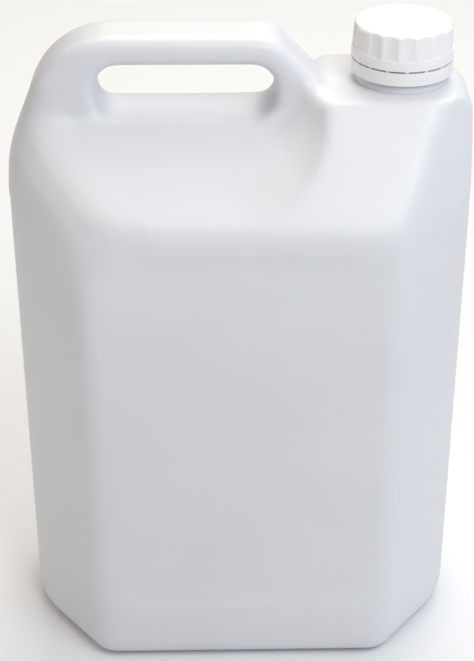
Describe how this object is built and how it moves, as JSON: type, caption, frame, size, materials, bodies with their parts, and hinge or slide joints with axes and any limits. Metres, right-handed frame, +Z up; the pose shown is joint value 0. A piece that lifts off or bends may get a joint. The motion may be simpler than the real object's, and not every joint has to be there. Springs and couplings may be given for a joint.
{
  "type": "oil bottle",
  "caption": "Plastic machine oil bottle with a moulded-in handle over a hand recess, cut corners, sunk label panels and a ridged screw cap with a tamper ring.",
  "frame": {"origin": "Middle of the flat standing face of the base, at floor height.", "axes": "+X points to the side with the neck and the cap, +Y to the back, +Z up. The handle lies along X over the left side."},
  "size_m": [0.1976, 0.1296, 0.2886],
  "materials": {
    "bottle_plastic": "semi-matte natural white polyethylene, slightly translucent, fine mould texture",
    "cap_plastic": "smooth white polyethylene with a soft gloss",
    "liner_foam": "white closed-cell polyethylene foam"
  },
  "bodies": {
    "bottle": {"bottle_body": "bottle_plastic", "tamper_ring": "cap_plastic"},
    "liner": {"cap_liner": "liner_foam"},
    "cap": {"screw_cap": "cap_plastic"}
  },
  "joints": [
    {"name": "cap_lift", "type": "slide", "parent": "bottle", "child": "liner", "axis": [0, 0, 1], "range_m": [0, 0.0126]},
    {"name": "cap_turn", "type": "hinge", "parent": "liner", "child": "cap", "pos_m": [0.0675, 0, 0.28], "axis": [0, 0, 1], "range_deg": [0, 1080]}
  ],
  "couplings": [
    {"joint": "cap_lift", "follows": "cap_turn", "m_per_rad": 0.00066845}
  ]
}
